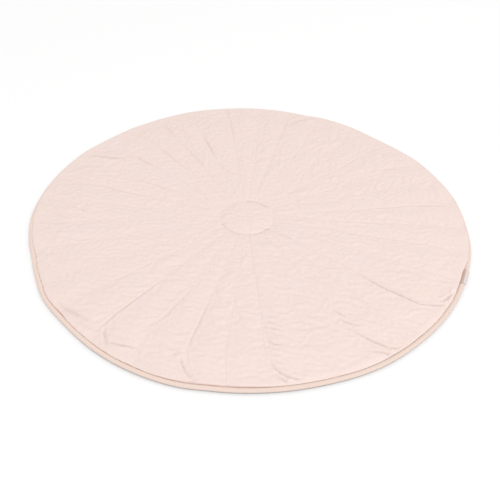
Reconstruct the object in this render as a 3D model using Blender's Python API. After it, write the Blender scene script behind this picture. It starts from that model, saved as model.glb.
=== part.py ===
"""A round, padded and quilted play mat, 1 m across, lying flat on the floor.

The mat is three sewn pieces. The quilted pad is one soft disc: 32 seams run out from a stitched centre
circle to the edge and draw the filling down into channels. A fabric-covered cord, the piping, is sewn
into the edge seam all the way round, and a short folded tape, the side label, is caught in the same seam.

Metres, +Z up. The floor is z = 0 and the centre circle lies on the Z axis. Angles run from +X towards +Y.
"""

import math
from collections import namedtuple

import bmesh
import bpy

# Driving dimensions
MAT_RADIUS = 0.4985
PIPING_RADIUS = 0.00525
PIPING_SIDES = 10
SEWN_GAP = 0.0003
CENTRE_SEAM_RADIUS = 0.0615
SEAM_HEIGHT = 0.0118
GORE_RISE = 0.0078
CENTRE_RISE = 0.0045

# The filling rises between two seams with the width of cloth there: half of GORE_RISE at this width.
HALF_RISE_WIDTH = 0.030
# A gore is flat on top and steep beside its seams.
PILLOW_POWER = 3.2
# The gores come up again over this distance outside the centre circle's seam.
CENTRE_SEAM_REACH = 0.014

# The padded edge, as distances in from the outline and heights above the floor: its widest point in the
# middle of a gore and at a seam, then angles round the piping where it is tucked in, then the underside.
EDGE_START = 0.0210
BULGE_CREST = (0.0088, 0.0122)
BULGE_SEAM = (0.0104, 0.0106)
BULGE_STEPS = (90.0, 68.0, 45.0, 22.0, 0.0)
TUCK_CREST = 122.0
TUCK_SEAM = 138.0
TUCK_END = 180.0
TUCK_CLEARANCE = SEWN_GAP + 0.0002
HEEL = (0.0116, 0.0022)
UNDERSIDE_EDGE = 0.0134

# Where the seams start to lean and where they have all of their lean, along the radius
LEAN_START = 0.40
LEAN_END = 0.49

# The side label: a tape folded double, wrapped over the piping between two angles, with a free end
LABEL_ANGLE = 338.3
LABEL_LENGTH = 0.045
LABEL_THICKNESS = 0.0010
LABEL_CLEARANCE = SEWN_GAP + 0.0001
LABEL_WRAP_START = 115.0
LABEL_WRAP_END = 42.0
LABEL_WRAP_STEPS = 7
LABEL_FREE_END = 0.0022
LABEL_LENGTH_STEPS = 6

# Each seam, with its angle in degrees, how far it leans round at the rim in degrees, how deep it is drawn
# against SEAM_HEIGHT in millimetres, and how full the gore after it is, 1 being ordinary.
Seam = namedtuple("Seam", "angle lean drawn fullness")
SEAMS = (
    Seam(8.4, 1.5, 0.6, 1.00),
    Seam(19.4, 1.0, -0.3, 0.95),
    Seam(29.8, -1.5, 0.3, 1.05),
    Seam(42.2, -1.0, -0.2, 0.95),
    Seam(53.2, 0.5, -0.3, 1.00),
    Seam(65.6, 1.0, -0.2, 1.05),
    Seam(76.9, 0.3, 0.6, 0.95),
    Seam(86.9, 0.2, 0.1, 1.00),
    Seam(97.8, 0.2, 0.5, 0.95),
    Seam(110.2, 1.6, 0.5, 1.00),
    Seam(120.9, 0.8, 0.5, 0.95),
    Seam(130.4, 2.6, 0.3, 1.00),
    Seam(141.0, 6.5, 0.6, 0.95),
    Seam(153.6, 2.5, 0.0, 1.00),
    Seam(164.2, -0.5, 0.4, 1.05),
    Seam(174.4, -1.0, 0.1, 0.95),
    Seam(185.3, -0.8, -0.2, 1.00),
    Seam(196.4, 0.5, -0.1, 1.00),
    Seam(207.6, 0.8, -0.2, 0.95),
    Seam(219.2, 1.2, 0.0, 1.05),
    Seam(230.3, 2.2, 0.8, 1.05),
    Seam(242.9, 1.5, 0.2, 1.00),
    Seam(254.4, 3.6, 0.8, 1.00),
    Seam(265.0, 1.0, 0.0, 1.05),
    Seam(275.3, 3.6, 0.7, 1.10),
    Seam(288.6, 1.5, -0.1, 1.05),
    Seam(301.7, 4.6, 0.7, 1.05),
    Seam(311.8, 2.4, 0.1, 1.10),
    Seam(322.6, 3.4, 0.9, 1.10),
    Seam(335.6, 0.5, 0.0, 1.00),
    Seam(348.0, 0.0, 0.5, 1.00),
    Seam(357.7, 0.3, 0.2, 0.95),
)

# Where the mat's outline lies in or out of MAT_RADIUS, in millimetres, at angles in degrees
Outline = namedtuple("Outline", "angle outward")
OUTLINE = (
    Outline(0.0, 3.2),
    Outline(14.0, 3.5),
    Outline(30.0, 1.2),
    Outline(40.0, -4.5),
    Outline(47.0, -7.5),
    Outline(56.0, -2.8),
    Outline(66.0, -0.8),
    Outline(73.0, -5.5),
    Outline(82.0, -2.2),
    Outline(98.0, -0.8),
    Outline(109.0, 1.8),
    Outline(117.0, -0.4),
    Outline(127.0, -2.6),
    Outline(138.0, -2.0),
    Outline(149.0, 2.4),
    Outline(165.0, 2.6),
    Outline(180.0, 3.6),
    Outline(189.0, -1.0),
    Outline(197.0, -5.0),
    Outline(204.0, -4.0),
    Outline(213.0, 1.2),
    Outline(222.0, -1.6),
    Outline(236.0, 2.0),
    Outline(255.0, 4.0),
    Outline(263.0, -0.4),
    Outline(285.0, -2.0),
    Outline(302.0, 1.2),
    Outline(320.0, 0.4),
    Outline(338.0, 1.0),
    Outline(350.0, 3.8),
)

# Rings of the face, from the centre out to where the edge starts to turn down
DISC_RINGS = (0.024, 0.044, 0.0565)
INNER_RINGS = (0.0655, 0.073, 0.088, 0.108, 0.132)
OUTER_RING_COUNT = 12

# Columns of one gore, as shares of its width from the seam before it
GORE_SHARES = (0.0, 0.09, 0.36, 0.64, 0.91)

BLUSH_COTTON = (0.905, 0.760, 0.686, 1.0)
PEACH_COTTON = (0.922, 0.735, 0.600, 1.0)
ROSE_TAPE = (0.651, 0.485, 0.402, 1.0)


def smooth(value):
    """Eases from 0 to 1 as the value does."""
    t = max(0.0, min(1.0, value))
    return t * t * (3.0 - 2.0 * t)


def blend(first, second, share):
    return first + (second - first) * share


def outline_radius(angle):
    """The mat's radius at an angle in degrees, eased from one row of OUTLINE to the next."""
    angle %= 360.0
    index = max(i for i, row in enumerate(OUTLINE) if row.angle <= angle)
    start, end = OUTLINE[index], OUTLINE[(index + 1) % len(OUTLINE)]
    share = (angle - start.angle) / ((end.angle - start.angle) % 360.0)
    return MAT_RADIUS + blend(start.outward, end.outward, smooth(share)) / 1000.0


def seam_angle(seam, radius):
    """The seam's angle in degrees at a radius: straight to LEAN_START, then leaning round to the rim."""
    return seam.angle + seam.lean * smooth((radius - LEAN_START) / (LEAN_END - LEAN_START))


def gore_sides(index, radius):
    """The angles of the two seams beside a gore at a radius, the second past the first."""
    first = seam_angle(SEAMS[index], radius)
    second = seam_angle(SEAMS[(index + 1) % len(SEAMS)], radius)
    return first, first + (second - first) % 360.0


def pillow(share):
    """How far a gore has risen at a share of its width: 0 at its seams and 1 in the middle."""
    return 1.0 - abs(2.0 * share - 1.0) ** PILLOW_POWER


def face_height(index, share, radius):
    """The height of the padded face outside the centre circle."""
    seam, after = SEAMS[index], SEAMS[(index + 1) % len(SEAMS)]
    first, second = gore_sides(index, radius)
    width = radius * math.radians(second - first)
    near_centre = 1.0 - math.exp(-(radius - CENTRE_SEAM_RADIUS) / CENTRE_SEAM_REACH)
    rise = GORE_RISE * seam.fullness * width / (width + HALF_RISE_WIDTH)
    drawn = blend(seam.drawn, after.drawn, share) / 1000.0
    floor = SEAM_HEIGHT - drawn * near_centre * (1.0 - pillow(share))
    return floor + rise * near_centre * pillow(share)


def disc_height(radius):
    """The height of the crowned centre circle inside its seam."""
    return SEAM_HEIGHT + CENTRE_RISE * (1.0 - (radius / CENTRE_SEAM_RADIUS) ** 3)


def place(angle, radius, height):
    turn = math.radians(angle)
    return (radius * math.cos(turn), radius * math.sin(turn), height)


def columns():
    """Each column round the mat, as its gore's index and its share of the gore's width."""
    return [(index, share) for index in range(len(SEAMS)) for share in GORE_SHARES]


def column_angle(index, share, radius):
    first, second = gore_sides(index, radius)
    return blend(first, second, share)


def rim_angles():
    """The angle of each column at the rim."""
    return [column_angle(index, share, MAT_RADIUS) for index, share in columns()]


def piping_centre():
    """The piping's centre, as a distance in from the outline and a height: it stands on one flat side."""
    return PIPING_RADIUS, PIPING_RADIUS * math.cos(math.pi / PIPING_SIDES)


def round_piping(turn, reach):
    """A point at an angle in degrees round the piping, 0 facing out and 90 up, reach from its centre."""
    inward, height = piping_centre()
    return inward - reach * math.cos(math.radians(turn)), height + reach * math.sin(math.radians(turn))


def edge_profile(index, share, top):
    """The padded edge from its crest round to the underside, as distances in from the outline and heights."""
    lift = pillow(share)
    bulge_in = blend(BULGE_SEAM[0], BULGE_CREST[0], lift)
    bulge_height = blend(BULGE_SEAM[1], BULGE_CREST[1], lift)
    points = []
    for step in BULGE_STEPS:
        turn = math.radians(step)
        inward = EDGE_START - (EDGE_START - bulge_in) * math.cos(turn)
        points.append((inward, bulge_height + (top - bulge_height) * math.sin(turn)))
    tuck_start = blend(TUCK_SEAM, TUCK_CREST, lift)
    for share_of_tuck in (0.0, 0.5, 1.0):
        turn = blend(tuck_start, TUCK_END, share_of_tuck)
        points.append(round_piping(turn, PIPING_RADIUS + TUCK_CLEARANCE))
    return points + [HEEL, (UNDERSIDE_EDGE, 0.0)]


def pad_rings():
    """The quilted pad's rings, from the smallest round the centre to the edge of the underside."""
    sides = columns()
    rings = []
    for radius in DISC_RINGS:
        height = disc_height(radius)
        rings.append([place(column_angle(i, s, radius), radius, height) for i, s in sides])
    radius = CENTRE_SEAM_RADIUS
    rings.append([place(column_angle(i, s, radius), radius, SEAM_HEIGHT) for i, s in sides])
    for radius in INNER_RINGS:
        rings.append(
            [place(column_angle(i, s, radius), radius, face_height(i, s, radius)) for i, s in sides]
        )
    start = INNER_RINGS[-1]
    for step in range(1, OUTER_RING_COUNT + 1):
        ring = []
        for index, share in sides:
            rim = outline_radius(column_angle(index, share, MAT_RADIUS)) - EDGE_START
            radius = blend(start, rim, step / (OUTER_RING_COUNT + 1))
            angle = column_angle(index, share, radius)
            ring.append(place(angle, radius, face_height(index, share, radius)))
        rings.append(ring)
    profiles = []
    for index, share in sides:
        angle = column_angle(index, share, MAT_RADIUS)
        outline = outline_radius(angle)
        top = face_height(index, share, outline - EDGE_START)
        profile = edge_profile(index, share, top)
        profiles.append([place(angle, outline - inward, height) for inward, height in profile])
    return rings + [list(ring) for ring in zip(*profiles)]


def join_rings(mesh, first, second, closed=True):
    """Fills the band between two rings of vertices with quads."""
    count = len(first)
    for column in range(count if closed else count - 1):
        after = (column + 1) % count
        mesh.faces.new((first[column], first[after], second[after], second[column]))


def finish_object(name, mesh, material):
    """Makes an object of a bmesh, with outward faces, smooth shading and one material."""
    bmesh.ops.recalc_face_normals(mesh, faces=mesh.faces)
    data = bpy.data.meshes.new(name)
    mesh.to_mesh(data)
    mesh.free()
    data.shade_smooth()
    data.materials.append(material)
    made = bpy.data.objects.new(name, data)
    bpy.context.scene.collection.objects.link(made)
    return made


def cloth(name, colour, roughness):
    """A matt cloth with no metal in it."""
    material = bpy.data.materials.new(name)
    material.use_nodes = True
    shader = material.node_tree.nodes["Principled BSDF"]
    shader.inputs["Base Color"].default_value = colour
    shader.inputs["Roughness"].default_value = roughness
    shader.inputs["Metallic"].default_value = 0.0
    return material


def quilted_pad(material):
    """The padded disc: crowned centre circle, gores between drawn-down seams, soft edge, flat underside."""
    mesh = bmesh.new()
    rings = [[mesh.verts.new(point) for point in ring] for ring in pad_rings()]
    centre = mesh.verts.new((0.0, 0.0, disc_height(0.0)))
    inner = rings[0]
    for column, vertex in enumerate(inner):
        mesh.faces.new((centre, vertex, inner[(column + 1) % len(inner)]))
    for first, second in zip(rings, rings[1:]):
        join_rings(mesh, first, second)
    mesh.faces.new(rings[-1])
    return finish_object("quilted_pad", mesh, material)


def piping(material):
    """The covered cord round the edge: a ring with a small flat where it stands on the floor."""
    mesh = bmesh.new()
    inward, height = piping_centre()
    rings = []
    for side in range(PIPING_SIDES):
        turn = math.radians(270.0) + math.pi * (2 * side + 1) / PIPING_SIDES
        out, up = PIPING_RADIUS * math.cos(turn), PIPING_RADIUS * math.sin(turn)
        rings.append(
            [
                mesh.verts.new(place(angle, outline_radius(angle) - inward + out, height + up))
                for angle in rim_angles()
            ]
        )
    for first, second in zip(rings, rings[1:] + rings[:1]):
        join_rings(mesh, first, second)
    return finish_object("piping", mesh, material)


def label_layer(reach):
    """One side of the label, reach from the piping's centre, from the seam outwards to its free end."""
    step = (LABEL_WRAP_END - LABEL_WRAP_START) / LABEL_WRAP_STEPS
    points = [
        round_piping(LABEL_WRAP_START + step * number, reach)
        for number in range(LABEL_WRAP_STEPS + 1)
    ]
    inward, height = points[-1]
    turn = math.radians(LABEL_WRAP_END)
    inward -= LABEL_FREE_END * math.sin(turn)
    height -= LABEL_FREE_END * math.cos(turn)
    return points + [(inward, height)]


def label_section():
    """The label's cut end: its lower side outwards, then its upper side back."""
    lower = PIPING_RADIUS + LABEL_CLEARANCE
    return label_layer(lower) + label_layer(lower + LABEL_THICKNESS)[::-1]


def side_label(material):
    """The folded tape, wrapped over the piping from the edge seam outwards."""
    mesh = bmesh.new()
    spread = math.degrees(LABEL_LENGTH / MAT_RADIUS)
    sections = []
    for step in range(LABEL_LENGTH_STEPS + 1):
        angle = LABEL_ANGLE + spread * (step / LABEL_LENGTH_STEPS - 0.5)
        outline = outline_radius(angle)
        sections.append(
            [mesh.verts.new(place(angle, outline - inward, up)) for inward, up in label_section()]
        )
    for first, second in zip(sections, sections[1:]):
        join_rings(mesh, first, second)
    mesh.faces.new(sections[0])
    mesh.faces.new(sections[-1])
    return finish_object("side_label", mesh, material)


def main():
    for old in list(bpy.data.objects):
        bpy.data.objects.remove(old)
    quilted_pad(cloth("blush cotton", BLUSH_COTTON, 0.9))
    piping(cloth("peach cotton", PEACH_COTTON, 0.9))
    side_label(cloth("rose tape", ROSE_TAPE, 0.8))


main()
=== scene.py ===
"""A round quilted baby play mat on a pale studio floor, made piece by piece round its CAD frame.

The quilted pad, its seam stitching, the piping and the side label each have an operator of their own, and
so has the stage with its floor, lights and camera. Metres, +Z up, the mat's underside at z = 0.
"""

import math
from collections import namedtuple

import bmesh
import bpy
import numpy as np
from bpy.props import FloatProperty, FloatVectorProperty, IntProperty, PointerProperty
from mathutils import Matrix, Vector
from mathutils.bvhtree import BVHTree


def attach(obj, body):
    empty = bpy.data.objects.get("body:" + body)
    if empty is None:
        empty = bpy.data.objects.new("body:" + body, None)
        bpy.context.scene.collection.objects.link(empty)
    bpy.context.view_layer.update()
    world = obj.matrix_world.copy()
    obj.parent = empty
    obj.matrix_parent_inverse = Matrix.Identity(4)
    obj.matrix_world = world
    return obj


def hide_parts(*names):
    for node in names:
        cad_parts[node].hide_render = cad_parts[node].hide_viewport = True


bl_info = {
    "name": "Baby play mat",
    "version": (1, 0, 0),
    "blender": (4, 5, 0),
    "location": "3D View > Sidebar > Play mat",
    "description": "Makes a round quilted play mat with its piping, side label and studio",
    "category": "Add Mesh",
}

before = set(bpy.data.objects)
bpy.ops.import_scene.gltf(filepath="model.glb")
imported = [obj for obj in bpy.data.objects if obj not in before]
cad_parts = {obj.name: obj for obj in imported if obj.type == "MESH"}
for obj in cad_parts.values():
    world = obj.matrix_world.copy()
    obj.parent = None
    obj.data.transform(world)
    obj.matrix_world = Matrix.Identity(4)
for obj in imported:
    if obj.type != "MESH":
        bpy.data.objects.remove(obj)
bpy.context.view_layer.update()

# Each seam of the quilting: its angle in degrees, how far it leans round at the rim in degrees, how deep it
# is drawn in millimetres, how full the gore after it is, and how clearly its thread has marked the cloth,
# 1 being ordinary for both
Seam = namedtuple("Seam", "angle lean drawn fullness mark")
SEAMS = tuple(map(Seam._make, (
    (8.4, 1.5, 0.6, 1.00, 1.0),
    (19.4, 1.0, -0.3, 0.95, 0.5),
    (29.8, -1.5, 0.3, 1.05, 0.8),
    (42.2, -1.0, -0.2, 0.95, 0.8),
    (53.2, 0.5, -0.3, 1.00, 0.5),
    (65.6, 1.0, -0.2, 1.05, 0.5),
    (76.9, 0.3, 0.3, 0.95, 0.8),
    (86.9, 0.2, 0.1, 1.00, 0.9),
    (97.8, 0.2, 0.5, 0.95, 1.2),
    (110.2, 1.6, 0.5, 1.00, 1.6),
    (120.9, 0.8, 0.5, 0.95, 1.5),
    (130.4, 2.6, 0.3, 1.00, 1.3),
    (141.0, 6.5, 0.6, 0.95, 1.2),
    (153.6, 2.5, 0.0, 1.00, 0.9),
    (164.2, -0.5, 0.4, 1.05, 1.2),
    (174.4, -1.0, 0.1, 0.95, 0.5),
    (185.3, -0.8, -0.2, 1.00, 0.5),
    (196.4, 0.5, -0.1, 1.00, 0.3),
    (207.6, 0.8, -0.2, 0.95, 0.6),
    (219.2, 1.2, 0.0, 1.05, 0.6),
    (230.3, 2.2, 0.8, 1.05, 1.6),
    (242.9, 1.5, 0.2, 1.00, 1.3),
    (254.4, 3.6, 0.8, 1.00, 1.7),
    (265.0, 1.0, 0.0, 1.05, 0.5),
    (275.3, 3.6, 0.4, 1.10, 0.6),
    (288.6, 1.5, -0.1, 1.05, 0.6),
    (301.7, 4.6, 0.7, 1.05, 1.3),
    (311.8, 2.4, 0.1, 1.10, 0.9),
    (322.6, 3.4, 0.9, 1.10, 2.0),
    (335.6, 0.5, 0.0, 1.00, 0.8),
    (348.0, 0.0, 0.5, 1.00, 1.5),
    (357.7, 0.3, 0.2, 0.95, 1.1),
)))
SEAM_ANGLE = np.array([seam.angle for seam in SEAMS])
SEAM_LEAN = np.array([seam.lean for seam in SEAMS])
SEAM_DRAWN = np.array([seam.drawn for seam in SEAMS]) / 1000.0
FULLNESS = np.array([seam.fullness for seam in SEAMS])
SEAM_MARK = np.array([seam.mark for seam in SEAMS])

# Each larger crease in the face: its depth and half width in millimetres, then its route as angles in
# degrees and radii in metres. Those on a seam are where its thread has pulled the cloth down hardest.
Crease = namedtuple("Crease", "depth width route")
CREASES = tuple(map(Crease._make, (
    (3.2, 2.5, ((322.2, 0.285), (321.6, 0.365), (322.4, 0.415), (323.1, 0.458))),
    (2.4, 2.6, ((323.0, 0.440), (324.2, 0.456), (325.4, 0.470), (327.2, 0.484))),
    (2.4, 2.8, ((326.0, 0.468), (328.6, 0.478), (331.0, 0.484), (333.4, 0.490))),
    (1.5, 3.0, ((300.6, 0.335), (301.6, 0.350), (303.0, 0.374))),
    (1.7, 3.0, ((300.2, 0.362), (301.6, 0.380), (303.6, 0.400))),
    (2.4, 2.8, ((300.2, 0.388), (302.6, 0.428), (304.2, 0.450), (305.8, 0.472), (309.0, 0.488))),
    (2.2, 2.4, ((301.4, 0.462), (303.0, 0.471), (305.0, 0.489))),
    (0.9, 5.0, ((282.5, 0.352), (289.0, 0.366), (296.5, 0.372))),
    (0.7, 7.0, ((284.0, 0.392), (288.0, 0.408), (294.0, 0.416))),
    (0.5, 2.8, ((275.5, 0.23), (275.8, 0.33), (276.2, 0.42))),
    (1.3, 3.0, ((275.8, 0.368), (277.5, 0.386), (280.8, 0.396))),
    (1.8, 2.8, ((275.9, 0.425), (277.5, 0.450), (280.5, 0.470), (284.5, 0.484))),
    (1.4, 2.8, ((276.4, 0.452), (278.0, 0.468), (280.0, 0.482))),
    (1.1, 2.8, ((254.6, 0.275), (254.5, 0.36), (254.4, 0.43))),
    (1.8, 2.8, ((253.4, 0.428), (254.6, 0.448), (256.6, 0.468), (259.6, 0.482))),
    (1.0, 3.4, ((254.2, 0.42), (252.4, 0.436), (250.4, 0.450))),
    (1.6, 2.3, ((230.5, 0.280), (230.7, 0.38), (231.0, 0.478))),
    (1.8, 2.8, ((231.7, 0.443), (233.0, 0.456), (234.8, 0.466), (236.7, 0.478))),
    (2.2, 2.4, ((235.6, 0.470), (239.5, 0.459), (243.4, 0.450))),
    (1.8, 7.5, ((215.8, 0.476), (220.5, 0.468), (224.5, 0.460), (229.4, 0.453))),
    (1.0, 4.0, ((224.0, 0.474), (228.0, 0.468), (231.2, 0.462))),
    (0.9, 5.0, ((197.0, 0.440), (198.5, 0.455), (200.5, 0.466))),
    (1.0, 2.8, ((244.6, 0.262), (243.6, 0.325), (243.2, 0.360), (241.2, 0.392))),
    (0.8, 3.2, ((348.0, 0.20), (348.0, 0.32), (348.1, 0.485))),
    (0.6, 3.2, ((357.7, 0.15), (357.8, 0.28), (357.9, 0.385))),
    (0.8, 3.0, ((8.4, 0.245), (8.4, 0.34), (8.5, 0.40))),
    (1.6, 3.2, ((8.4, 0.385), (8.3, 0.43), (7.9, 0.472))),
    (0.8, 4.4, ((33.2, 0.325), (30.8, 0.40), (28.6, 0.475))),
    (0.7, 3.2, ((42.2, 0.30), (42.1, 0.375))),
    (0.7, 3.4, ((65.7, 0.255), (66.2, 0.295))),
    (0.5, 3.6, ((76.9, 0.36), (76.9, 0.42), (77.2, 0.488))),
    (1.5, 6.5, ((76.6, 0.405), (73.5, 0.44), (70.0, 0.472), (66.5, 0.492))),
    (0.5, 3.0, ((86.9, 0.20), (86.8, 0.375))),
    (0.6, 3.0, ((97.8, 0.30), (97.8, 0.39), (98.0, 0.485))),
    (0.8, 3.0, ((98.6, 0.42), (98.9, 0.485))),
    (1.4, 3.0, ((110.5, 0.245), (110.3, 0.31), (110.4, 0.372))),
    (0.8, 4.4, ((110.0, 0.25), (108.0, 0.192), (98.0, 0.170), (85.5, 0.150))),
    (1.1, 3.0, ((120.0, 0.20), (120.4, 0.27), (120.9, 0.35))),
    (1.1, 3.4, ((120.9, 0.385), (121.1, 0.465))),
    (1.0, 5.0, ((119.0, 0.435), (117.0, 0.40), (114.6, 0.358))),
    (1.2, 3.0, ((130.4, 0.255), (130.5, 0.375))),
    (1.3, 3.4, ((140.4, 0.285), (141.3, 0.345), (140.9, 0.38))),
    (2.2, 4.6, ((144.0, 0.386), (146.6, 0.404), (148.6, 0.445), (150.4, 0.482))),
    (0.8, 4.0, ((152.7, 0.20), (152.9, 0.30))),
    (0.9, 3.6, ((163.0, 0.245), (164.6, 0.30), (163.4, 0.366), (165.2, 0.470))),
    (0.6, 4.0, ((160.6, 0.36), (161.8, 0.42), (161.0, 0.472))),
    (0.6, 4.0, ((168.6, 0.35), (168.0, 0.41), (169.8, 0.468))),
    (0.8, 4.0, ((180.8, 0.352), (178.4, 0.385), (176.2, 0.418))),
    (0.8, 4.0, ((183.8, 0.405), (181.0, 0.435), (178.4, 0.464))),
    (0.5, 4.0, ((187.4, 0.37), (185.4, 0.41), (184.0, 0.455))),
    (0.5, 4.2, ((191.6, 0.345), (190.0, 0.39), (188.6, 0.430))),
    (0.5, 4.2, ((197.6, 0.36), (195.4, 0.41), (194.2, 0.445))),
    (0.5, 4.2, ((204.4, 0.37), (202.6, 0.41), (201.6, 0.455))),
    (0.5, 5.0, ((208.2, 0.412), (214.0, 0.368), (219.2, 0.337), (220.6, 0.275))),
    (0.3, 3.4, ((218.8, 0.295), (218.9, 0.38))),
    (0.5, 4.6, ((335.2, 0.285), (336.0, 0.325), (336.6, 0.362))),
    (0.5, 4.6, ((328.4, 0.30), (330.2, 0.345), (331.4, 0.40))),
    (0.5, 3.4, ((311.6, 0.325), (311.8, 0.385))),
    (0.7, 6.5, ((99.5, 0.034), (20.0, 0.001), (281.3, 0.0153), (288.4, 0.0316), (306.4, 0.0472))),
    (1.2, 2.6, ((303.0, 0.044), (312.0, 0.053), (318.0, 0.064), (321.0, 0.10), (322.6, 0.150))),
    (0.6, 3.0, ((128.0, 0.058), (140.0, 0.045), (152.0, 0.034))),
    (0.6, 3.4, ((200.0, 0.040), (215.0, 0.036), (228.0, 0.046))),
    (0.9, 2.6, ((162.0, 0.076), (164.6, 0.128))),
    (0.8, 2.6, ((25.8, 0.066), (17.7, 0.100))),
    (0.8, 2.6, ((356.4, 0.072), (356.0, 0.132))),
)))

# Short slanted wrinkles in a row beside a seam, like a feather's barbs: the seam's angle, the side they lie
# on (1 after the seam), their first and last radius, spacing, length in metres, and depth in millimetres
Feather = namedtuple("Feather", "angle side start end spacing length depth")
FEATHERS = tuple(map(Feather._make, (
    (275.6, 1, 0.280, 0.440, 0.014, 0.026, 0.9),
    (301.7, -1, 0.30, 0.45, 0.019, 0.024, 0.35),
    (322.6, -1, 0.31, 0.44, 0.018, 0.022, 0.35),
    (254.4, 1, 0.30, 0.44, 0.017, 0.022, 0.35),
    (230.3, -1, 0.31, 0.45, 0.018, 0.022, 0.35),
    (141.0, 1, 0.30, 0.44, 0.019, 0.022, 0.35),
    (164.2, 1, 0.28, 0.46, 0.018, 0.022, 0.30),
    (8.4, 1, 0.32, 0.46, 0.019, 0.022, 0.30),
    (76.9, -1, 0.34, 0.46, 0.018, 0.022, 0.30),
)))

# Runs of small folds: the direction they lie in, and the sector of the face that they cover, in degrees
Run = namedtuple("Run", "direction start end")
RUNS = tuple(map(Run._make, (
    (-4.0, 335.0, 382.0),
    (36.0, 18.0, 70.0),
    (90.0, 66.0, 106.0),
    (122.0, 98.0, 147.0),
    (156.0, 139.0, 213.0),
    (165.0, 204.0, 292.0),
    (147.0, 284.0, 342.0),
)))

# The simulated cloth: the spacing of its knots in metres, the direction in degrees that its folds run in
# over the front and the left, how much bigger than the face it was cut across those folds, how much bigger
# every way at the front and at the back, over how many frames it is gathered and then settles, and the most
# that it may rise or sink in metres
NET_STEP = 0.0036
FOLD_DIRECTION = 162.0
FOLD_SLACK = 0.013
EVEN_SLACK = (0.011, 0.018)
GATHER_FRAMES = 5
SETTLE_FRAMES = 4
NET_CAP = 0.0018
# How stiff, heavy and quick to settle its threads are
CLOTH_NATURE = {
    "quality": 5,
    "mass": 0.15,
    "tension_stiffness": 15.0,
    "compression_stiffness": 15.0,
    "shear_stiffness": 4.5,
    "bending_stiffness": 0.5,
    "air_damping": 5.0,
    "pin_stiffness": 1.0,
}

# The centre seam's stretches that show: where each starts and ends in degrees, its depth and its width in
# millimetres
Stretch = namedtuple("Stretch", "start end depth width")
CENTRE_SEAM = tuple(map(Stretch._make, (
    (40.0, 94.0, 2.6, 3.2),
    (96.0, 140.0, 0.5, 2.0),
    (150.0, 200.0, 0.6, 1.8),
    (203.0, 278.0, 1.9, 1.6),
    (272.0, 324.0, 2.4, 1.8),
    (330.0, 388.0, 0.5, 2.0),
)))

# How deep cloth lies in a crease where its attribute for the material's painted shade says 1
SUNK_DEPTH = 0.004

# The face's form, as in the CAD solid
CENTRE_SEAM_RADIUS = 0.0615
CENTRE_SEAM_REACH = 0.014
# How far the middle of the centre circle lies from the middle of the mat, and how soon that fades away
CENTRE_SHIFT = (-0.0045, 0.0030)
CENTRE_SHIFT_REACH = 0.14
PILLOW_POWER = 3.2
HALF_RISE_WIDTH = 0.030
RIM_FALL_WIDTH = 0.075
LEAN_START = 0.40
LEAN_END = 0.49
# How much closer together the columns of faces lie by the seams, 0 being evenly spread
CROWDING = 0.35
# The radii of the face's rings with few columns, in the centre circle and outside it, then how many rings
# with all their columns lie from there to the edge, and how many in the underside
DISC_RINGS = (*np.arange(0.004, 0.056, 0.004), 0.0572, 0.0590, 0.0604, CENTRE_SEAM_RADIUS)
INNER_RINGS = (0.0626, 0.0640, 0.0658, 0.0678, *np.arange(0.0700, 0.200, 0.0026))
OUTER_RING_COUNT = 114
UNDERSIDE_RING_COUNT = 12

# The label tape's ribs: how far apart they are along its 45 mm, and the scale of the grain that makes them
# waver, along and across it
TAPE_RIB_PITCH = 0.0008
TAPE_GRAIN = (0.045, 0.026, 1.0)

# The padded edge, as distances in from the outline and heights above the floor
EDGE_START = 0.0210
EDGE_FULLNESS = 0.68
WALL_CREST = 0.0023
WALL_SEAM = 0.0018
TUCK_CREST = 122.0
TUCK_SEAM = 138.0
TUCK_END = 180.0
PIPING_RADIUS = 0.00525
PIPING_CENTRE_HEIGHT = PIPING_RADIUS * math.cos(math.radians(18.0))
SEWN_GAP = 0.0005
HEEL = (0.0116, 0.0022)
UNDERSIDE_EDGE = 0.0134
# Where its rings lie: turns in degrees from the face over the bulge, then shares of the way that it tucks in
# behind the piping
BULGE_TURNS = (85.0, 80.0, 75.0, 69.0, 62.0, 54.0, 45.0, 34.0, 18.0, 0.0)
TUCK_SHARES = (0.0, 0.33, 0.67, 1.0)
# The groove between pad and piping at its most closed and at its most open
OPENING_LIMITS = (-0.15, 2.4)
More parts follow.
